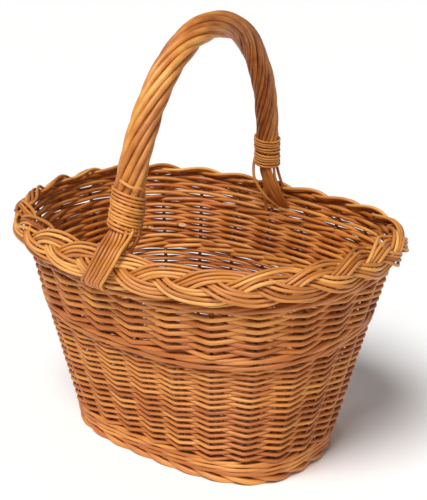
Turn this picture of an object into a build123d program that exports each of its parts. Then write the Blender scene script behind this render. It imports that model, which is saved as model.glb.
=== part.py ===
from build123d import *
import math
import os

# Woven market basket: an oval wicker basket with a braided border and one arched handle.
# Millimetres, +Z up, +X along the long axis. Origin: centre of the base, on the ground.

# --- overall size -----------------------------------------------------------------
base_half_length = 139.0
base_half_width = 93.0
base_squareness = 3.0
rim_half_length = 197.0
rim_half_width = 154.6
rim_squareness = 2.45
rim_height = 220.0
wall_thickness = 12.0

# --- heights of the bands of weave ------------------------------------------------
foot_top = 14.0
upsett_top = 27.0
lower_siding_top = 138.0
middle_wale_top = 156.0
upper_siding_top = 203.0
top_wale_top = 220.0
foot_bulge = 2.0
upsett_bulge = 1.5
wale_bulge = 1.0

# --- base -------------------------------------------------------------------------
base_low = 4.0
base_high = 14.0
stick_height = 9.0
edge_depth = 14.0
cross_stick_diameter = 8.0
long_stick_diameter = 5.0
long_stick_spacing = 5.2
cross_stick_count = 5
cross_stick_spacing = 33.0
stick_end_gap = 3.0
fit_gap = 0.15

# --- stakes -----------------------------------------------------------------------
stake_count = 24
stake_diameter = 4.0
stake_stub = 23.0
stake_bend = 8.0
stake_top = 232.0

# --- border -----------------------------------------------------------------------
border_half_length = 200.6
border_half_width = 158.0
# Each row: height, then how far the outside and the inside stand from the middle line.
border_profile = (
    (220.0, 0.0, 14.4),
    (228.0, 7.5, 10.5),
    (237.5, 9.4, 9.4),
    (247.0, 7.5, 7.5),
    (255.0, 2.0, 2.0),
)

# --- handle -----------------------------------------------------------------------
skew_angle = 6.8
lean_angle = 3.6
handle_shift = -25.4
spring_half_width = 129.5
spring_height = 307.5
splay_angle = 8.8
side_radius = 195.5
side_sweep = 31.2
crown_radius = 112.3
crown_sweep = 100.0
bow_radius = 5.0
rope_radius = 13.5
leg_tip_height = 207.0
near_lashing_low = 267.0
far_lashing_low = 270.0
lashing_length = 35.0
rope_low = 284.0
near_lashing_radius = 18.0
far_lashing_radius = 16.5
foot_rod_radius = 2.0
foot_rod_bend = 6.0
foot_rod_count = 6
foot_ring_radius = 9.8
foot_ring_step = 30.0
foot_rod_top = 282.0


def oval_point(half_length, half_width, squareness, angle):
    """A point of a squarish oval, seen from above."""
    across = math.cos(math.radians(angle))
    along = math.sin(math.radians(angle))
    power = 2.0 / squareness
    x = half_length * math.copysign(abs(across) ** power, across)
    y = half_width * math.copysign(abs(along) ** power, along)
    return x, y


def wall_sizes(height, inset):
    """Half length, half width and squareness of the wall at a height."""
    part_way = height / rim_height
    half_length = base_half_length + (rim_half_length - base_half_length) * part_way
    half_width = base_half_width + (rim_half_width - base_half_width) * part_way
    squareness = base_squareness + (rim_squareness - base_squareness) * part_way
    return half_length - inset, half_width - inset, squareness


def oval_table(sizes, steps):
    """Closely spaced points round an oval with the distance walked to each."""
    points = [oval_point(*sizes, 360.0 * step / steps) for step in range(steps + 1)]
    walked = [0.0]
    for before, after in zip(points[:-1], points[1:]):
        walked.append(walked[-1] + math.dist(before, after))
    return points, walked


def even_points(sizes, count, start):
    """Points spaced evenly by distance round an oval, in units of the spacing."""
    points, walked = oval_table(sizes, 3600)
    found = []
    for index in range(count):
        target = walked[-1] * ((index + start) % count) / count
        place = next(i for i, far in enumerate(walked) if far >= target)
        found.append(points[place])
    return found


def oval_outline(sizes):
    """Closed smooth outline of an oval in the active sketch."""
    with BuildLine() as outline:
        Spline(*even_points(sizes, 40, 0.0), periodic=True)
    make_face(outline.edges())


def wall_band(low, high, bulge):
    """A closed ring of weave between two heights."""
    for inset, mode in ((-bulge, Mode.ADD), (wall_thickness, Mode.SUBTRACT)):
        sections = []
        for height in (low, high):
            with BuildSketch(Plane.XY.offset(height)) as section:
                oval_outline(wall_sizes(height, inset))
            sections.append(section.sketch)
        loft(sections, ruled=True, mode=mode)


def oval_outward(sizes, point):
    """Direction square to an oval at one of its points."""
    half_length, half_width, squareness = sizes
    x = math.copysign(abs(point[0] / half_length) ** (squareness - 1) / half_length, point[0])
    y = math.copysign(abs(point[1] / half_width) ** (squareness - 1) / half_width, point[1])
    return Vector(x, y, 0).normalized()


def label_and_save(piece, name):
    piece.label = name
    export_step(piece, "parts/" + name + ".step")


os.makedirs("parts", exist_ok=True)

# --- stakes: a stub in the base, a bend, then straight up the middle of the wall -------
wall_middle = wall_thickness / 2
low_sizes = wall_sizes(stick_height, wall_middle)
low_ring = even_points(low_sizes, stake_count, 0.5)
high_ring = even_points(wall_sizes(stake_top, wall_middle), stake_count, 0.5)
stake_lines = []
for low_point, high_point in zip(low_ring, high_ring):
    corner = Vector(low_point[0], low_point[1], stick_height)
    top = Vector(high_point[0], high_point[1], stake_top)
    outward = oval_outward(low_sizes, low_point)
    stake_lines.append((corner - outward * stake_stub, corner, top))

stakes = []
for index, (inner_end, corner, top) in enumerate(stake_lines):
    with BuildPart() as stake:
        with BuildLine() as path:
            FilletPolyline(inner_end, corner, top, radius=stake_bend)
        with BuildSketch(Plane(path.line @ 0, z_dir=path.line % 0)):
            Circle(stake_diameter / 2)
        sweep()
    label_and_save(stake.part, "stake_" + str(index + 1).zfill(2))
    stakes.append(stake.part)

with BuildPart() as stake_channels:
    for inner_end, corner, top in stake_lines:
        with BuildLine() as path:
            beyond = (top - corner).normalized()
            FilletPolyline(inner_end, corner, top + beyond, radius=stake_bend)
        with BuildSketch(Plane(path.line @ 0, z_dir=path.line % 0)):
            Circle(stake_diameter / 2 + fit_gap)
        sweep()

# --- base: slit cross sticks with long sticks threaded through, woven over --------------
edge_length, edge_width, edge_squareness = wall_sizes(stick_height, edge_depth)
stick_radius = cross_stick_diameter / 2
slit_width = 2 * long_stick_spacing + long_stick_diameter + 0.6
slit_height = long_stick_diameter + 0.2
cross_sticks = []
for index in range(cross_stick_count):
    x = (index - (cross_stick_count - 1) / 2) * cross_stick_spacing
    reach = edge_width * (1 - abs(x / edge_length) ** edge_squareness) ** (1 / edge_squareness)
    half_stick = reach - stick_end_gap
    with BuildPart() as cross_stick:
        with BuildSketch(Plane.XZ.offset(-half_stick)):
            with Locations((x, stick_height)):
                Circle(stick_radius)
        extrude(amount=2 * half_stick)
        with Locations((x, 0, stick_height)):
            Box(cross_stick_diameter + 2, slit_width, slit_height, mode=Mode.SUBTRACT)
    label_and_save(cross_stick.part, "base_cross_stick_" + str(index + 1))
    cross_sticks.append(cross_stick.part)

long_sticks = []
half_long = edge_length - stick_end_gap - 6
for index in range(3):
    with BuildPart() as long_stick:
        with BuildSketch(Plane.YZ.offset(-half_long)):
            with Locations(((index - 1) * long_stick_spacing, stick_height)):
                Circle(long_stick_diameter / 2)
        extrude(amount=2 * half_long)
    label_and_save(long_stick.part, "base_long_stick_" + str(index + 1))
    long_sticks.append(long_stick.part)

with BuildPart() as base_weave:
    with BuildSketch(Plane.XY.offset(base_low)):
        oval_outline((edge_length, edge_width, edge_squareness))
    extrude(amount=base_high - base_low)
    for stick in cross_sticks + long_sticks:
        add(stick, mode=Mode.SUBTRACT)
    add(stake_channels.part, mode=Mode.SUBTRACT)
label_and_save(base_weave.part, "base_weave")

# --- foot: thick rods round the edge of the base ------------------------------------------
with BuildPart() as foot_wale:
    with BuildSketch():
        oval_outline(wall_sizes(foot_top / 2, -foot_bulge))
    extrude(amount=foot_top)
    fillet(foot_wale.edges().group_by(Axis.Z)[0], 5)
    with BuildSketch():
        oval_outline((edge_length, edge_width, edge_squareness))
    extrude(amount=foot_top, mode=Mode.SUBTRACT)
    add(stake_channels.part, mode=Mode.SUBTRACT)
label_and_save(foot_wale.part, "foot_wale")

# --- handle bow: a thick rod bent over the basket, its tips tapered into the side ----------
skew = math.radians(skew_angle)
lean = math.radians(lean_angle)
splay = math.radians(splay_angle)
handle_plane = Plane(
    origin=(handle_shift, 0, 0),
    x_dir=(-math.sin(skew), math.cos(skew), 0),
    z_dir=(math.cos(skew) * math.cos(lean), math.sin(skew) * math.cos(lean), -math.sin(lean)),
)


def leg_across(height):
    """Distance of a handle leg from the middle of the handle."""
    return spring_half_width + (spring_height - height) * math.tan(splay)


def leg_point(side, height):
    """Centre of the near (-1) or far (+1) handle leg at a height."""
    return handle_plane.from_local_coords(Vector(side * leg_across(height), height, 0))


def arch_path(foot_height):
    """The arch of the handle from leg to leg, down to a height along the legs."""
    with BuildLine(handle_plane) as arch:
        foot = (-leg_across(foot_height), foot_height)
        near_leg = Line(foot, (-spring_half_width, spring_height))
        near_side = JernArc(near_leg @ 1, near_leg % 1, side_radius, -side_sweep)
        crown = JernArc(near_side @ 1, near_side % 1, crown_radius, -crown_sweep)
        far_side = JernArc(crown @ 1, crown % 1, side_radius, -side_sweep)
        Line(far_side @ 1, (leg_across(foot_height), foot_height))
    return arch.line


bow_path = arch_path(leg_tip_height)
with BuildPart() as handle_bow:
    with BuildSketch(Plane(bow_path @ 0, z_dir=bow_path % 0)):
        Circle(bow_radius)
    sweep(path=bow_path)
label_and_save(handle_bow.part, "handle_bow")

# --- handle rope: the rods laid round the bow ------------------------------------------------
rope_path = arch_path(rope_low)
with BuildPart() as handle_rope:
    with BuildSketch(Plane(rope_path @ 0, z_dir=rope_path % 0)):
        Circle(rope_radius)
        Circle(bow_radius, mode=Mode.SUBTRACT)
    sweep(path=rope_path)
label_and_save(handle_rope.part, "handle_rope")

# --- lashings: a thin rod wound round each foot of the handle --------------------------------
for side, name, low, outer_radius in (
    (-1, "near_lashing", near_lashing_low, near_lashing_radius),
    (1, "far_lashing", far_lashing_low, far_lashing_radius),
):
    start = leg_point(side, low)
    finish = leg_point(side, low + lashing_length)
    with BuildPart() as lashing:
        with BuildSketch(Plane(start, z_dir=finish - start)):
            Circle(outer_radius)
            Circle(rope_radius + 2 * fit_gap, mode=Mode.SUBTRACT)
        extrude(amount=(finish - start).length)
        fillet(lashing.edges().filter_by(GeomType.CIRCLE).sort_by(SortBy.RADIUS)[-2:], 1.2)
    label_and_save(lashing.part, name)

# --- foot rods: a flat fan from each lashing past the border and in under it ------------------
# Each fan: its side, the height where the rods leave the handle, how much lower the outer rods
# leave and how much lower they first touch the border, per squared step from the middle; then
# rows of the middle of the fan along x, its place across y, height, spacing of the rods.
fans = {
    "near_foot_rods": (-1, 265.0, 1.3, 0.4, (
        (3, -162, 261, 5.3), (0, -171, 248, 5.3), (-1, -171, 227, 5.3), (-2, -154, 209, 5.3),
    )),
    "far_foot_rods": (1, 262.0, 0.0, 0.0, (
        (-15, 125.5, 246, 6.0), (1, 132, 218, 5.6), (4, 146, 206, 5.4),
    )),
}
foot_rods = {}
for name, (side, leave_height, leave_drop, border_drop, rows) in fans.items():
    with BuildPart() as fan_rods:
        for index in range(foot_rod_count):
            step = index - (foot_rod_count - 1) / 2
            turn = math.radians(step * foot_ring_step)
            ring_shift = Vector(math.sin(turn), -math.cos(turn), 0) * foot_ring_radius
            leave = leave_height - leave_drop * step**2
            points = [leg_point(side, height) + ring_shift for height in (foot_rod_top, leave)]
            for middle_x, y, z, spacing in rows:
                points.append(Vector(middle_x + step * spacing, y, z))
            points[2] -= Vector(0, 0, border_drop * step**2)
            with BuildLine() as rod_path:
                FilletPolyline(*points, radius=foot_rod_bend)
            with BuildSketch(Plane(rod_path.line @ 0, z_dir=rod_path.line % 0)):
                Circle(foot_rod_radius)
            sweep()
    label_and_save(fan_rods.part, name)
    foot_rods[name] = fan_rods.part

# --- border: a thick braid laid along the top of the side --------------------------------------
with BuildPart() as border_plait:
    for direction, mode in ((1, Mode.ADD), (-1, Mode.SUBTRACT)):
        sections = []
        for height, outside, inside in border_profile:
            offset = outside if direction > 0 else -inside
            sizes = (border_half_length + offset, border_half_width + offset, rim_squareness)
            with BuildSketch(Plane.XY.offset(height)) as section:
                oval_outline(sizes)
            sections.append(section.sketch)
        loft(sections, ruled=True, mode=mode)
    add(stake_channels.part, mode=Mode.SUBTRACT)
    add(handle_bow.part, mode=Mode.SUBTRACT)
label_and_save(border_plait.part, "border_plait")

# --- side: bands of weave, each with channels for the stakes inside it ---------------------------
bands = (
    ("upsett_wale", foot_top, upsett_top, upsett_bulge),
    ("lower_siding", upsett_top, lower_siding_top, 0.0),
    ("middle_wale", lower_siding_top, middle_wale_top, wale_bulge),
    ("upper_siding", middle_wale_top, upper_siding_top, 0.0),
    ("top_wale", upper_siding_top, top_wale_top, 0.0),
)
for name, low, high, bulge in bands:
    with BuildPart() as band:
        wall_band(low, high, bulge)
        add(stake_channels.part, mode=Mode.SUBTRACT)
        if high > leg_tip_height:
            add(handle_bow.part, mode=Mode.SUBTRACT)
            for rods in foot_rods.values():
                add(rods, mode=Mode.SUBTRACT)
    label_and_save(band.part, name)
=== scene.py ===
import math

import bpy
import numpy as np
from mathutils import Matrix, Vector


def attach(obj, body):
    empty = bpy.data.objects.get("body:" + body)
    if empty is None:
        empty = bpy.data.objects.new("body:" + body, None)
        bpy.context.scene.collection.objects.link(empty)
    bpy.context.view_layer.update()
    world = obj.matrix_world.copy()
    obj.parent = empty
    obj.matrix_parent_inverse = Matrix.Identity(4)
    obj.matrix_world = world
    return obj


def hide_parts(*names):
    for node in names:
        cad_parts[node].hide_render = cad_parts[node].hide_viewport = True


# The looks of the woven market basket: every band of weave, the braid, the handle's rods and its
# ties are built here from single willow rods. Sizes are in millimetres until a mesh is made.

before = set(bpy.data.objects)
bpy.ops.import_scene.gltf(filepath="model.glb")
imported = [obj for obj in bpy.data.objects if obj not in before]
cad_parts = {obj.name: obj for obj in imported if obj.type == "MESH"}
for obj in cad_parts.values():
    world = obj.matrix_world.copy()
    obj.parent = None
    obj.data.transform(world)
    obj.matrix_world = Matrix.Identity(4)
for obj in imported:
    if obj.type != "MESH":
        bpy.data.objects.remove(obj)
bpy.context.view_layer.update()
random = np.random.default_rng(24)
MM = 0.001
TURN = 2.0 * math.pi
GRAIN_LENGTH, GRAIN_SPREAD = 5000, 900  # rods start their grain at far apart places

# --- sizes repeated from the CAD model --------------------------------------------------------
STAKES = 24
STAKE_RADIUS = 2.0
BASE = (139.0, 93.0, 3.0)  # half length, half width and squareness of an oval
RIM = (197.0, 154.6, 2.45)
BORDER = (200.6, 158.0, 2.45)
RIM_HEIGHT = 220.0
WALL_MIDDLE = 6.0  # the stakes stand this far inside the wall's outside
STAKE_FOOT = 9.0
STAKE_TOP = 232.0

HANDLE_SHIFT = -25.4
SKEW = math.radians(6.8)
LEAN = math.radians(3.6)
SPLAY = math.radians(8.8)
SPRING_HALF_WIDTH = 129.5
SPRING_HEIGHT = 307.5
SIDE_RADIUS, SIDE_SWEEP = 195.5, math.radians(31.2)
CROWN_RADIUS, CROWN_SWEEP = 112.3, math.radians(100.0)


# --- shapes -----------------------------------------------------------------------------------
def unit(vectors):
    return vectors / np.linalg.norm(vectors, axis=-1, keepdims=True)


def even_oval(half_length, half_width, squareness, count):
    """Evenly spaced points round a squarish oval, counter-clockwise from +X."""
    angles = np.linspace(0, TURN, 4001)
    power = 2.0 / squareness
    x = half_length * np.sign(np.cos(angles)) * np.abs(np.cos(angles)) ** power
    y = half_width * np.sign(np.sin(angles)) * np.abs(np.sin(angles)) ** power
    walked = np.concatenate([[0], np.cumsum(np.hypot(np.diff(x), np.diff(y)))])
    stops = np.linspace(0, walked[-1], count, endpoint=False)
    return np.column_stack([np.interp(stops, walked, x), np.interp(stops, walked, y)])


def oval_sizes(height):
    """The wall's middle oval at a height."""
    part_way = height / RIM_HEIGHT
    sizes = [low + (high - low) * part_way for low, high in zip(BASE, RIM)]
    return sizes[0] - WALL_MIDDLE, sizes[1] - WALL_MIDDLE, sizes[2]


def outward_of(points):
    """Level unit vectors pointing out of a closed counter-clockwise ring."""
    along = unit(np.roll(points, -1, axis=0)[:, :2] - np.roll(points, 1, axis=0)[:, :2])
    return np.column_stack([along[:, 1], -along[:, 0], np.zeros(len(points))])


RIM_BOW = 4.1
MIDDLE_SLOPE = 8.0
UPSETT_TOP, MIDDLE_HEIGHT, SIDING_TOP = 27.0, 151.0, 215.0


def unevenness(points, height):
    """Rise of each point: the rim's ends stand higher than its sides, the middle wale slopes."""
    bow = np.interp(height, (UPSETT_TOP, RIM_HEIGHT), (0, RIM_BOW))
    slope = np.interp(height, (UPSETT_TOP, MIDDLE_HEIGHT, SIDING_TOP), (0, MIDDLE_SLOPE, 0))
    share_x = points[:, 0] / np.abs(points[:, 0]).max()
    share_y = points[:, 1] / np.abs(points[:, 1]).max()
    return bow * (share_x**2 - share_y**2) + slope * share_y


def wall_ring(height, samples):
    """Points, vectors square to the wall and the phase, which is whole at each stake."""
    low = even_oval(*oval_sizes(STAKE_FOOT), samples)
    high = even_oval(*oval_sizes(STAKE_TOP), samples)
    level = low + (high - low) * (height - STAKE_FOOT) / (STAKE_TOP - STAKE_FOOT)
    points = np.column_stack([level, np.full(samples, height)])
    points[:, 2] += unevenness(points, height)
    outward = outward_of(points)
    slope = ((high - low) * outward[:, :2]).sum(1) / (STAKE_TOP - STAKE_FOOT)
    outward[:, 2] = -slope
    phase = np.arange(samples) / samples * STAKES - 0.5
    return points, unit(outward), phase


def wobble(count, size, waves, closed=True):
    """A slow seeded waviness along a rod."""
    place = np.arange(count) / (count if closed else max(count - 1, 1))
    total = np.zeros(count)
    for wave in range(1, waves + 1):
        total += random.normal() * np.sin(TURN * (wave * place + random.random()))
    return total * size / math.sqrt(waves)


def spline(points, samples):
    """A smooth line through a few points."""
    points = np.array(points, float)
    padded = np.vstack([2 * points[0] - points[1], points, 2 * points[-1] - points[-2]])
    place = np.linspace(0, len(points) - 1 - 1e-9, samples)
    first = place.astype(int)
    t = (place - first)[:, None]
    a, b, c, d = (padded[first + shift] for shift in range(4))
    return 0.5 * (2 * b + (c - a) * t + (2 * a - 5 * b + 4 * c - d) * t**2
                  + (3 * b - a - 3 * c + d) * t**3)


class RodBundle:
    """Willow rods gathered into one mesh, each with its own tone and its own grain."""

    def __init__(self, sides=8):
        self.sides = sides
        self.points, self.faces, self.tone, self.fibre, self.cut = [], [], [], [], []
        self.count = 0

    def add(self, points, tone, fibre, cut):
        self.points.append(points)
        self.tone.append(tone)
        self.fibre.append(fibre)
        self.cut.append(np.full(len(points), float(cut)))
        start = self.count
        self.count += len(points)
        return start

    def rod(self, points, radius, tone, closed=False, reference=(0, 0, 1), slant=0.0):
        """A round rod along points. The ends are cut on a slant, longest away from reference."""
        count = len(points)
        radius = np.broadcast_to(np.asarray(radius, float), count)
        tone = np.broadcast_to(np.asarray(tone, float), count)
        if closed:
            along = unit(np.roll(points, -1, axis=0) - np.roll(points, 1, axis=0))
        else:
            along = unit(np.gradient(points, axis=0))
        steps = np.linalg.norm(np.diff(points, axis=0), axis=1)
        reference = np.broadcast_to(np.asarray(reference, float), (count, 3))
        side = unit(reference - (reference * along).sum(1, keepdims=True) * along)
        other = np.cross(along, side)
        walked = np.concatenate([[0], np.cumsum(steps)]) + random.random() * GRAIN_LENGTH
        angles = np.arange(self.sides) / self.sides * TURN
        ring = (side[:, None] * np.cos(angles)[None, :, None]
                + other[:, None] * np.sin(angles)[None, :, None]) * radius[:, None, None]
        if not closed and slant:
            for end in (0, -1):
                ring[end] += np.cos(angles)[:, None] * along[end] * radius[end] * slant
        places = points[:, None] + ring
        fibre = np.empty((count, self.sides, 3))
        fibre[..., 0] = walked[:, None]
        fibre[..., 1] = radius[:, None] * np.cos(angles) + tone[:, None] * GRAIN_SPREAD
        fibre[..., 2] = radius[:, None] * np.sin(angles)
        start = self.add(places.reshape(-1, 3), np.repeat(tone, self.sides),
                         fibre.reshape(-1, 3), 0)
        rows = count if closed else count - 1
        row = np.arange(rows)[:, None] * self.sides
        column = np.arange(self.sides)[None, :]
        next_row = (np.arange(rows)[:, None] + 1) % count * self.sides
        next_column = (column + 1) % self.sides
        quads = np.stack([row + column, row + next_column, next_row + next_column,
                          next_row + column], axis=-1).reshape(-1, 4) + start
        self.faces.append(quads)
        if not closed:
            for end in (0, -1):
                cap = self.add(places[end], np.repeat(tone[end], self.sides), fibre[end], 1)
                corners = np.arange(self.sides)
                if end == 0:
                    corners = corners[::-1]
                self.faces.append([list(cap + corners)])

    def build(self, name, slot, material, *nodes):
        mesh = bpy.data.meshes.new(name)
        points = np.concatenate(self.points) * MM
        faces = [list(map(int, face)) for group in self.faces for face in group]
        mesh.from_pydata(points.tolist(), [], faces)
        mesh.polygons.foreach_set("use_smooth", [len(face) == 4 for face in faces])
        for title, kind, values, field in (
            ("tone", "FLOAT", np.concatenate(self.tone), "value"),
            ("cut", "FLOAT", np.concatenate(self.cut), "value"),
            ("fibre", "FLOAT_VECTOR", np.concatenate(self.fibre) * MM, "vector"),
        ):
            attribute = mesh.attributes.new(title, kind, "POINT")
            attribute.data.foreach_set(field, values.astype(np.float32).ravel())
        mesh.materials.append(material)
        piece = bpy.data.objects.new(name, mesh)
        bpy.context.scene.collection.objects.link(piece)
        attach(piece, "root")
        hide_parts(*nodes)
        return piece


# --- willow -----------------------------------------------------------------------------------
def willow(name, dark, mid, light, roughness=0.45, from_rods=True, lift=0.0,
           tone_share=0.5):
    """Willow: a tone for each rod, slow colour changes, fine grain along it, specks and a sheen."""
    material = bpy.data.materials.new(name)
    material.use_nodes = True
    nodes, links = material.node_tree.nodes, material.node_tree.links
    shader = nodes["Principled BSDF"]

    def node(kind, **inputs):
        made = nodes.new(kind)
        for key, value in inputs.items():
            if key in made.inputs:
                made.inputs[key].default_value = value
            else:
                setattr(made, key, value)
        return made

    def maths(operation, first, second):
        made = node("ShaderNodeMath", operation=operation)
        for socket, value in zip(made.inputs, (first, second)):
            if isinstance(value, (int, float)):
                socket.default_value = value
            else:
                links.new(value, socket)
        return made.outputs[0]

    def noise(scale, detail=2.0):
        mapping = node("ShaderNodeMapping")
        links.new(coordinates, mapping.inputs["Vector"])
        mapping.inputs["Scale"].default_value = scale
        made = node("ShaderNodeTexNoise", Scale=1.0, Detail=detail)
        links.new(mapping.outputs[0], made.inputs["Vector"])
        return made.outputs["Fac"]

    def blend(kind, amount, first, second):
        made = node("ShaderNodeMix", data_type="RGBA", blend_type=kind)
        for socket, value in zip((made.inputs[0], made.inputs[6], made.inputs[7]),
                                 (amount, first, second)):
            if isinstance(value, (int, float)):
                socket.default_value = value
            elif isinstance(value, tuple):
                socket.default_value = (*value, 1)
            else:
                links.new(value, socket)
        return made.outputs[2]

    if from_rods:
        coordinates = node("ShaderNodeAttribute", attribute_name="fibre").outputs["Vector"]
        tone = node("ShaderNodeAttribute", attribute_name="tone").outputs["Fac"]
        slow, grain, speck = noise((14, 60, 60)), noise((60, 1500, 1500), 3), noise((500, 900, 900))
    else:
        coordinates = node("ShaderNodeTexCoord").outputs["Object"]
        tone = noise((30, 30, 3))
        slow, grain, speck = noise((40, 40, 14)), noise((1200, 1200, 60), 3), noise((900, 900, 500))
    spread = maths("ADD", maths("MULTIPLY", tone, tone_share), maths("MULTIPLY", slow, 0.7))
    spread = maths("ADD", spread, maths("MULTIPLY", maths("SUBTRACT", grain, 0.5), 0.35))
    spread = maths("ADD", spread, lift + 0.5 - 0.5 * tone_share - 0.35)
    ramp = node("ShaderNodeValToRGB")
    links.new(spread, ramp.inputs["Fac"])
    stops = ramp.color_ramp.elements
    stops[0].position, stops[0].color = 0.12, (*dark, 1)
    stops[1].position, stops[1].color = 0.88, (*light, 1)
    middle = stops.new(0.5)
    middle.color = (*mid, 1)
    colour = ramp.outputs["Color"]
    spots = maths("GREATER_THAN", speck, 0.7)
    colour = blend("MULTIPLY", maths("MULTIPLY", spots, 0.45), colour, (0.35, 0.2, 0.12))
    if from_rods:
        cut = node("ShaderNodeAttribute", attribute_name="cut").outputs["Fac"]
        colour = blend("MIX", maths("MULTIPLY", cut, 0.75), colour, (0.82, 0.62, 0.34))
    links.new(colour, shader.inputs["Base Color"])
    links.new(maths("ADD", maths("MULTIPLY", slow, 0.2), roughness - 0.1),
              shader.inputs["Roughness"])
    shader.inputs["Coat Weight"].default_value = 0.06
    shader.inputs["Coat Roughness"].default_value = 0.3
    bump = node("ShaderNodeBump", Strength=0.35, Distance=0.0004)
    links.new(grain, bump.inputs["Height"])
    links.new(bump.outputs["Normal"], shader.inputs["Normal"])
    return material


RED_BROWN, ORANGE_BROWN, GOLD = (0.28, 0.062, 0.009), (0.52, 0.155, 0.024), (0.78, 0.35, 0.075)
siding_willow = willow("siding_willow", RED_BROWN, ORANGE_BROWN, GOLD, lift=0.04, tone_share=0.36)
wale_willow = willow("wale_willow", RED_BROWN, ORANGE_BROWN, GOLD, lift=0.05, tone_share=0.4)
border_willow = willow("border_willow", (0.30, 0.075, 0.012), (0.62, 0.225, 0.042), (0.88, 0.48, 0.125))
handle_willow = willow("handle_willow", (0.26, 0.055, 0.009), (0.60, 0.21, 0.036), (0.88, 0.47, 0.11))
lashing_willow = willow("lashing_willow", (0.34, 0.09, 0.014), (0.70, 0.265, 0.048), (0.92, 0.52, 0.135))
base_willow = willow("base_willow", RED_BROWN, ORANGE_BROWN, GOLD, roughness=0.6)
# Painted shade: the stakes are coloured dark so that the gaps of the weave, where they show through,
# look shaded.
stake_willow = willow("stake_willow", (0.12, 0.03, 0.006), (0.26, 0.075, 0.014), (0.42, 0.15, 0.03),
                      from_rods=False)
stick_willow = willow("stick_willow", RED_BROWN, ORANGE_BROWN, GOLD, from_rods=False)


# --- weave ------------------------------------------------------------------------------------
DIP = 1.1  # how far a rod drops where it passes in front of a stake
CLEARANCE = 1.12  # room between a rod and the stake it passes
WALE_STRANDS = 3
WALE_RISE = 0.9  # climb of a strand from its lowest to its highest place, in rod thicknesses
RANDING_SAMPLES, WALE_SAMPLES = STAKES * 12, STAKES * 8
LOOSE_END_RADIUS = 2.2


def rod_tones(phase, first, step, shortest, longest):
    """Tones round a ring pieced together from rods that each span a few steps from first on."""
    tones = np.empty(len(phase))
    start = first + step * random.integers(0, round(STAKES / step))
    place = (phase - start) % STAKES
    edge = 0.0
    while edge < STAKES:
        length = step * random.integers(shortest, longest + 1)
        tones[(place >= edge) & (place < edge + length)] = random.random()
        edge += length
    return tones


def randing_row(bundle, height, radius, row, far_side=0.0):
    """One ring of single rod, in front of one stake and behind the next, straight in between."""
    points, outward, phase = wall_ring(height, RANDING_SAMPLES)
    swing = 2 * np.abs((phase + row) % 2 - 1) - 1
    swing = (np.roll(swing, 1) + 2 * swing + np.roll(swing, -1)) / 4
    radius = radius * (1 + far_side * points[:, 1] / points[:, 1].max())
    radius = radius * (1 + wobble(RANDING_SAMPLES, 0.05, 7))
    points = points + outward * ((STAKE_RADIUS + radius) * CLEARANCE * swing)[:, None]
    points[:, 2] += wobble(RANDING_SAMPLES, 0.2, 9) - DIP * swing
    tones = rod_tones(phase, 1.5 + row % 2, 2, 3, 6)
    bundle.rod(points, radius, closed=True, tone=tones)


def siding(name, low, high, rows, radius_low, radius_high, tighter, far_side, loose_ends=()):
    """Rows of randing. They lie closer near the top by tighter, thicker at +Y by far_side."""
    bundle = RodBundle()
    for row in range(rows):
        part_way = (row + 0.5) / rows
        part_way += tighter * part_way * (1 - part_way)
        radius = radius_low + (radius_high - radius_low) * part_way
        randing_row(bundle, low + (high - low) * part_way, radius, row, far_side=far_side)
    for points in loose_ends:
        bundle.rod(spline(points, 14), LOOSE_END_RADIUS, tone=0.95,
                   reference=(0.3, -1, 0.4), slant=-2.4)
    bundle.build(name, "siding_willow", siding_willow, name)


def rope_wale(bundle, height, radius, rise):
    """Strands twisted round each other like a rope, falling to the right on the outside."""
    for strand in range(WALE_STRANDS):
        points, outward, phase = wall_ring(height, WALE_SAMPLES)
        angle = TURN * (phase + strand) / WALE_STRANDS
        points = points + outward * ((STAKE_RADIUS + 0.8 * radius) * np.cos(angle))[:, None]
        points[:, 2] -= rise * np.sin(angle)
        tones = rod_tones(phase, WALE_STRANDS / 2 - strand, WALE_STRANDS, 2, 4)
        bundle.rod(points, radius * (1 + wobble(WALE_SAMPLES, 0.05, 7)), closed=True, tone=tones)


def wale(bundle, height, radius):
    """Strands that each pass in front of two stakes, then behind one, in turn."""
    behind = 1.0 / WALE_STRANDS
    for strand in range(WALE_STRANDS):
        points, outward, phase = wall_ring(height, WALE_SAMPLES)
        turn = ((phase + strand) / WALE_STRANDS) % 1.0
        front = turn < 1 - behind
        rise = np.where(front, turn / (1 - behind), (1 - turn) / behind)
        swing = np.where(front, np.abs(np.sin(math.pi * turn / (1 - behind))) ** 0.45,
                         -np.abs(np.sin(math.pi * (turn - 1 + behind) / behind)) ** 0.7)
        swing = (np.roll(swing, 1) + swing + np.roll(swing, -1)) / 3
        reach = (STAKE_RADIUS + radius) * swing
        points = points + outward * reach[:, None]
        points[:, 2] += (rise - 0.5) * 2 * radius * WALE_RISE + wobble(WALE_SAMPLES, 0.25, 7)
        tones = rod_tones(phase, WALE_STRANDS - 0.5 - strand, WALE_STRANDS, 2, 4)
        bundle.rod(points, radius * (1 + wobble(WALE_SAMPLES, 0.04, 7)), closed=True, tone=tones)


siding("lower_siding", low=28.0, high=148.5, rows=32, radius_low=2.05, radius_high=1.8,
       tighter=0.11, far_side=0.07)
siding("upper_siding", low=162.0, high=207.0, rows=12, radius_low=2.35, radius_high=2.3,
       tighter=0.0, far_side=-0.04,
       loose_ends=([(-160, 72, 183), (-150, 86, 184), (-137, 97, 183.8), (-123, 106, 183)],
                   [(-170, 50, 178), (-162, 68, 179), (-152, 82, 180)]))

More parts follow.
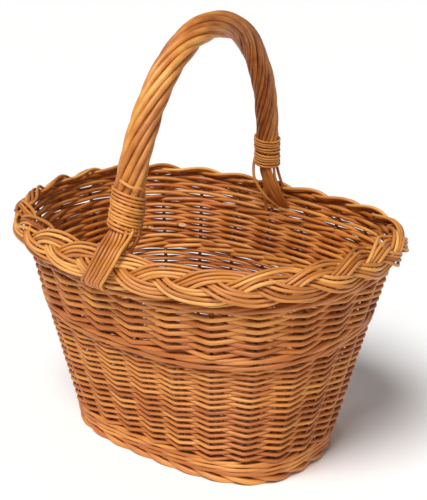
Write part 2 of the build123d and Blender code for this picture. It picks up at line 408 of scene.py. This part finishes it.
foot = RodBundle()
rope_wale(foot, 6.9, 3.2, rise=3.9)
wale(foot, 14.5, 2.4)
foot.build("foot_wale", "wale_willow", wale_willow, "foot_wale")
upsett = RodBundle()
wale(upsett, 19.5, 2.2)
wale(upsett, 25.0, 2.0)
upsett.build("upsett_wale", "wale_willow", wale_willow, "upsett_wale")
middle = RodBundle()
wale(middle, 152.2, 2.4)
wale(middle, 158.6, 2.4)
middle.build("middle_wale", "wale_willow", wale_willow, "middle_wale")
top = RodBundle()
wale(top, 210.5, 2.4)
for row in range(7):
    randing_row(top, 216.5 + 3.9 * row, 2.25, row)
top.build("top_wale", "wale_willow", wale_willow, "top_wale")

# --- border: a three-strand plait of four rods each ---------------------------------------------
PLAIT_PERIODS = 8
PLAIT_PITCH = STAKES / PLAIT_PERIODS
PLAIT_HEIGHT = 237.0
PLAIT_SHIFT = 3.0  # outwards from the border's middle oval
PLAIT_TILT = math.radians(26)
PLAIT_REACH = 10.4  # of a strand up and down from the middle
PLAIT_DEPTH = 3.8  # of a strand in and out as it passes the others
PLAIT_SHARPNESS = 0.9
PLAIT_ROUNDING = 0.027  # how strongly the plait's edges bend back to the wall
PLAIT_ROD, PLAIT_SPACING = 1.8, 2.15
samples = STAKES * 24
border = RodBundle()
level = even_oval(*BORDER, samples)
middle_line = np.column_stack([level, np.full(samples, PLAIT_HEIGHT)])
middle_line[:, 2] += unevenness(middle_line, RIM_HEIGHT)
level_out, level_up = outward_of(middle_line), np.array([[0.0, 0.0, 1.0]])
middle_line += level_out * PLAIT_SHIFT
out = level_out * math.cos(PLAIT_TILT) + level_up * math.sin(PLAIT_TILT)
up = level_up * math.cos(PLAIT_TILT) - level_out * math.sin(PLAIT_TILT)
for strand in range(3):
    angle = TURN * (np.arange(samples) / samples * PLAIT_PERIODS + strand / 3)
    across = PLAIT_REACH * np.tanh(PLAIT_SHARPNESS * np.sin(angle)) / math.tanh(PLAIT_SHARPNESS)
    depth = PLAIT_DEPTH * np.sin(2 * angle)
    centre = middle_line + up * across[:, None] + out * depth[:, None]
    along = unit(np.roll(centre, -1, axis=0) - np.roll(centre, 1, axis=0))
    beside = unit(np.cross(out, along))
    for rod in (-1.5, -0.5, 0.5, 1.5):
        shift = rod * PLAIT_ROD * PLAIT_SPACING + wobble(samples, 0.85, 22)
        lifted = wobble(samples, 0.8, 22)
        path = centre + beside * shift[:, None] + out * lifted[:, None]
        from_middle = ((path - middle_line) * up).sum(1)
        path -= out * (PLAIT_ROUNDING * from_middle**2)[:, None]
        phase = np.arange(samples) / samples * STAKES
        tones = rod_tones(phase, PLAIT_PITCH * (0.375 - strand / 3), PLAIT_PITCH, 1, 2)
        border.rod(path, PLAIT_ROD * (1 + wobble(samples, 0.05, 12)), closed=True, reference=out,
                   tone=tones)
border.build("border_plait", "border_willow", border_willow, "border_plait")

# --- handle -----------------------------------------------------------------------------------
handle_origin = np.array([HANDLE_SHIFT, 0.0, 0.0])
handle_across = np.array([-math.sin(SKEW), math.cos(SKEW), 0.0])
handle_normal = np.array([math.cos(SKEW) * math.cos(LEAN), math.sin(SKEW) * math.cos(LEAN),
                          -math.sin(LEAN)])
handle_up = np.cross(handle_normal, handle_across)


def leg_point(side, height):
    """The middle of a handle leg at a height along the handle."""
    across = side * (SPRING_HALF_WIDTH + (SPRING_HEIGHT - height) * math.tan(SPLAY))
    return handle_origin + handle_across * across + handle_up * height


def arch(foot_height, step=1.0):
    """Points along the handle from the near leg to the far leg."""
    leg = (SPRING_HEIGHT - foot_height) / math.cos(SPLAY)
    side, crown = SIDE_RADIUS * SIDE_SWEEP, CROWN_RADIUS * CROWN_SWEEP
    stops = np.cumsum([0, leg, side, crown, side, leg])
    start = math.pi / 2 - SPLAY
    turns = np.cumsum([start, 0, -SIDE_SWEEP, -CROWN_SWEEP, -SIDE_SWEEP, 0])
    place = np.arange(0, stops[-1], step)
    heading = np.interp(place + step / 2, stops, turns)
    first = np.array([-(SPRING_HALF_WIDTH + leg * math.sin(SPLAY)), foot_height])
    moves = np.column_stack([np.cos(heading), np.sin(heading)]) * step
    flat = np.vstack([first, first + np.cumsum(moves, axis=0)])
    return handle_origin + flat[:, :1] * handle_across + flat[:, 1:] * handle_up


# The thick rods thin out towards the far leg, where six more join them to fill the ring.
MAIN_RODS, EXTRA_RODS = 10, 6
ROPE_FOOT = 271.0
TWIST = 2.0
rope = RodBundle(sides=10)
line = arch(ROPE_FOOT)[::3]
count = len(line)
along = unit(np.gradient(line, axis=0))
normal = np.tile(handle_normal, (count, 1))
beside = np.cross(along, normal)
share = np.linspace(0, 1, count)
main_radius = np.interp(share, (0, 0.12, 0.45, 0.75, 1), (3.9, 3.45, 3.1, 2.3, 2.05))
extra_radius = np.interp(share, (0, 0.35, 0.8, 1), (0.15, 0.3, 1.9, 2.05))
radii = [main_radius] * MAIN_RODS
for extra in range(EXTRA_RODS):
    radii.insert(1 + round(extra * (MAIN_RODS + EXTRA_RODS) / EXTRA_RODS), extra_radius)
around = np.cumsum(radii, axis=0) - np.array(radii) / 2
around = TURN * around / around[-1]
ring_radius = np.sum(radii, axis=0) / math.pi * 0.97
for radius, place in zip(radii, around):
    angle = place + TURN * TWIST * share + wobble(count, 0.05, 5, closed=False)
    reach = ring_radius + wobble(count, 0.4, 6, closed=False)
    direction = normal * np.cos(angle)[:, None] + beside * np.sin(angle)[:, None]
    # Tone falls from the near leg to the far leg: painted shade darkening the far leg.
    tones = np.clip(0.68 - 0.46 * share + 0.28 * random.normal(), 0, 1)
    rope.rod(line + direction * reach[:, None], radius * (1 + wobble(count, 0.04, 4, closed=False)),
             reference=direction, tone=tones)
rope.build("handle_rope", "handle_willow", handle_willow, "handle_rope")

# The bow inside tapers from under the ties to its tips.
BOW_TIP, BOW_TAPER_TOP = 207.0, 262.0
BOW_RADIUS, BOW_TIP_RADIUS = 5.0, 2.0
bow = RodBundle(sides=16)
line = arch(BOW_TIP)[::3]
bow_radius = np.interp(line[:, 2], (BOW_TIP, BOW_TAPER_TOP), (BOW_TIP_RADIUS, BOW_RADIUS))
bow.rod(line, bow_radius, reference=handle_normal, tone=0.3)
bow.build("handle_bow", "handle_willow", handle_willow, "handle_bow")


LASHING_START = math.radians(60)


def lashing(side, low, length, inside, turns, rod_radius, tilt, gap=0.0, head=(), tail=()):
    """A thin rod wound up a leg, with a gap halfway and a first and a last loose stretch."""
    bundle = RodBundle()
    start, end = leg_point(side, low), leg_point(side, low + length)
    axis = unit(end - start)
    across = unit(np.cross(axis, handle_normal))
    level = np.cross(across, axis)
    steps = turns * 28
    share = np.linspace(0, 1, steps)
    angle = -TURN * turns * share + LASHING_START
    direction = level * np.cos(angle)[:, None] + across * np.sin(angle)[:, None]
    reach = inside + rod_radius + wobble(steps, 0.25, 12, closed=False)
    climb = share * (length - gap) + gap / (1 + np.exp(-60 * (share - 0.5)))
    climb += direction @ tilt + wobble(steps, 0.3, 9, closed=False)
    points = start + axis * climb[:, None] + direction * reach[:, None]
    if len(tail):
        points = np.vstack([points, spline([points[-1], *tail], 20)[1:]])
    if len(head):
        points = np.vstack([spline([*head, points[0]], 12)[:-1], points])
    tone = np.full(len(points), 0.5) + wobble(len(points), 0.12, 5, closed=False)
    bundle.rod(points, rod_radius, reference=axis, tone=np.clip(tone, 0, 1))
    return bundle


SLOPE_ACROSS = np.array([0.777, 0.629, 0.0])  # the ties slope down along this line
near_tie = lashing(-1, low=263.5, length=38.0, inside=14.8, turns=11, rod_radius=1.36,
                   tilt=-SLOPE_ACROSS * 2.6,
                   head=[(13, -130, 243), (18, -126, 252)],
                   tail=[(26, -130, 306), (22, -139.5, 309), (12, -144.5, 315)])
near_tie.build("near_lashing", "lashing_willow", lashing_willow, "near_lashing")
far_tie = lashing(1, low=271.0, length=32.5, inside=12.3, turns=10, rod_radius=1.3,
                  tilt=-SLOPE_ACROSS * 0.6, gap=3.0)
far_tie.build("far_lashing", "lashing_willow", lashing_willow, "far_lashing")

# Each row of a fan: the middle rod x, y, z, the spacing, and how much the row curls round the leg.
near_fan = ((9, -144.5, 282, 3.2, 0.9), (9, -144.6, 272, 3.4, 0.9), (10.4, -146, 264, 4.2, 0.7),
            (12.2, -152, 257, 4.5, 0.2), (14.9, -161, 252, 4.4, 0), (14.4, -168, 244, 4.3, 0),
            (11.6, -171.5, 236, 4.2, 0), (6, -172.5, 226, 4.1, 0), (0.5, -172, 218, 4.0, 0),
            (-5, -163, 210, 4.0, 0), (-7, -156, 208, 4.0, 0))
far_fan = ((-22, 126, 280, 2.6, 0.9), (-21.5, 126, 271, 2.8, 0.8), (-18, 128, 259, 3.0, 0.3),
           (-13.5, 131, 247, 3.0, 0.1), (-10, 137, 234, 2.8, 0), (-7.5, 146, 222, 2.4, 0))
for name, count, radius, tone, rows, loose in (
    ("near_foot_rods", 7, 1.7, 0.55, near_fan, (
        ((19, -128, 280), (23, -131, 262), (21, -137, 248), (18, -146, 232)),
        ((17, -134, 280), (20, -137, 262), (17, -143, 248), (13, -150, 232)),
    )),
    # the far fan's low tone is painted shade, like the far end of the rope
    ("far_foot_rods", 7, 1.6, 0.25, far_fan, (
        ((-38, 134, 280), (-40, 132, 266), (-35, 129, 250), (-22, 133, 232), (-12, 146, 218)),
        ((-17, 140, 280), (-13, 142, 262), (-10, 147, 245), (-10, 152, 232)),
    )),
):
    fan = RodBundle()
    paths = [spline(line_points, 40) for line_points in loose]
    for rod in range(count):
        step = rod - (count - 1) / 2
        path = spline([(x + step * spacing, y + curl * step**2, z)
                       for x, y, z, spacing, curl in rows], 44)
        paths.append(path + np.column_stack([wobble(44, 0.3, 3, closed=False) for _ in range(3)]))
    for path in paths:
        fan.rod(path, radius, reference=(1, 0, 0), tone=np.clip(tone + 0.16 * random.normal(), 0, 1))
    fan.build(name, "handle_willow", handle_willow, name)

# --- base: fine rods round the sticks -------------------------------------------------------------
CROSS_STICKS = [33.0 * step for step in range(-2, 3)]
FIRST_INSET, LAST_INSET, BASE_ROW = 12.0, 84.0, 3.5
BASE_ROD, BASE_LIFT, BASE_SQUARENESS = 1.75, 5.2, 2.6
base = RodBundle()
samples = 200
for ring, inset in enumerate(np.arange(FIRST_INSET, LAST_INSET, BASE_ROW)):
    half_length, half_width = BASE[0] - inset, BASE[1] - inset
    level = even_oval(half_length, half_width, BASE_SQUARENESS, samples)
    points = np.column_stack([level, np.full(samples, STAKE_FOOT)])
    crossings = [0, samples // 2]
    for x in CROSS_STICKS:
        if abs(x) < half_length - 8:
            gap = np.abs(level[:, 0] - x)
            for upper in (True, False):
                crossings.append(int(np.argmin(np.where((level[:, 1] > 0) == upper, gap, 1e9))))
    crossings = sorted(crossings)
    phase = np.interp(np.arange(samples), crossings + [samples], range(len(crossings) + 1))
    points[:, 2] += BASE_LIFT * np.cos(math.pi * (phase + ring)) + wobble(samples, 0.2, 5)
    base.rod(points, BASE_ROD, closed=True, tone=np.clip(0.5 + wobble(samples, 0.25, 4), 0, 1))
base.build("base_weave", "base_willow", base_willow, "base_weave")

# --- finishes of the CAD nodes that stay ------------------------------------------------------------
for name, cad_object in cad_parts.items():
    if name.startswith("stake"):
        # the stakes take the dark finish, painted shade for the gaps of the weave
        finish = stake_willow
    elif name.startswith("base_"):
        finish = stick_willow
    else:
        continue
    for slot in cad_object.material_slots:
        slot.material = finish

# --- studio -----------------------------------------------------------------------------------
bpy.ops.mesh.primitive_plane_add(size=12, location=(0, 0, 0))
floor = bpy.context.object
floor.name = "floor"
floor_material = bpy.data.materials.new("floor")
floor_material.use_nodes = True
floor_shader = floor_material.node_tree.nodes["Principled BSDF"]
floor_shader.inputs["Base Color"].default_value = (0.965, 0.965, 0.96, 1)
floor_shader.inputs["Roughness"].default_value = 0.9
floor.data.materials.append(floor_material)

world = bpy.data.worlds.new("studio")
bpy.context.scene.world = world
world.use_nodes = True
world.node_tree.nodes["Background"].inputs["Color"].default_value = (1, 1, 1, 1)
world.node_tree.nodes["Background"].inputs["Strength"].default_value = 0.2


def lamp(name, kind, strength, direction, place=(0, 0, 0)):
    light = bpy.data.lights.new(name, kind)
    light.energy = strength
    lamp_object = bpy.data.objects.new(name, light)
    bpy.context.scene.collection.objects.link(lamp_object)
    lamp_object.location = place
    lamp_object.rotation_euler = Vector(direction).to_track_quat("-Z", "Y").to_euler()
    return light


lamp("key", "SUN", 3.3, (-0.12, 0.66, -0.98)).angle = math.radians(28)
FILL_PLACE = Vector((1.9, -0.9, 0.9))
lamp("fill", "AREA", 4, Vector((0, 0, 0.2)) - FILL_PLACE, FILL_PLACE).size = 1.4

# --- camera: from the front right and a little above ------------------------------------------------
AZIMUTH, ELEVATION, ROLL = math.radians(39.07), math.radians(21.12), math.radians(1.15)
DISTANCE = 1353 * MM
TARGET = np.array([0, 0, 150 * MM])
LENS, SENSOR = 91.3968, 36.0
AIM_RIGHT, AIM_UP = 0.0059083, 0.0399007  # where the lens points, off the target, per unit ahead
back = np.array([math.sin(AZIMUTH) * math.cos(ELEVATION),
                 -math.cos(AZIMUTH) * math.cos(ELEVATION), math.sin(ELEVATION)])
right = np.array([math.cos(AZIMUTH), math.sin(AZIMUTH), 0.0])
upward = np.cross(right, -back)
forward = unit(-back + right * AIM_RIGHT + upward * AIM_UP)
right = unit(np.cross(forward, (0, 0, 1)))
upward = np.cross(right, forward)
right, upward = (right * math.cos(ROLL) + upward * math.sin(ROLL),
                 upward * math.cos(ROLL) - right * math.sin(ROLL))
lens = bpy.data.cameras.new("camera")
lens.sensor_width, lens.lens = SENSOR, LENS
lens.clip_end = 50
camera = bpy.data.objects.new("camera", lens)
bpy.context.scene.collection.objects.link(camera)
pose = Matrix([[*row] for row in np.column_stack([right, upward, -forward])]).to_4x4()
pose.translation = Vector(TARGET + DISTANCE * back)
camera.matrix_world = pose
bpy.context.scene.camera = camera
bpy.context.scene.view_settings.view_transform = "Standard"
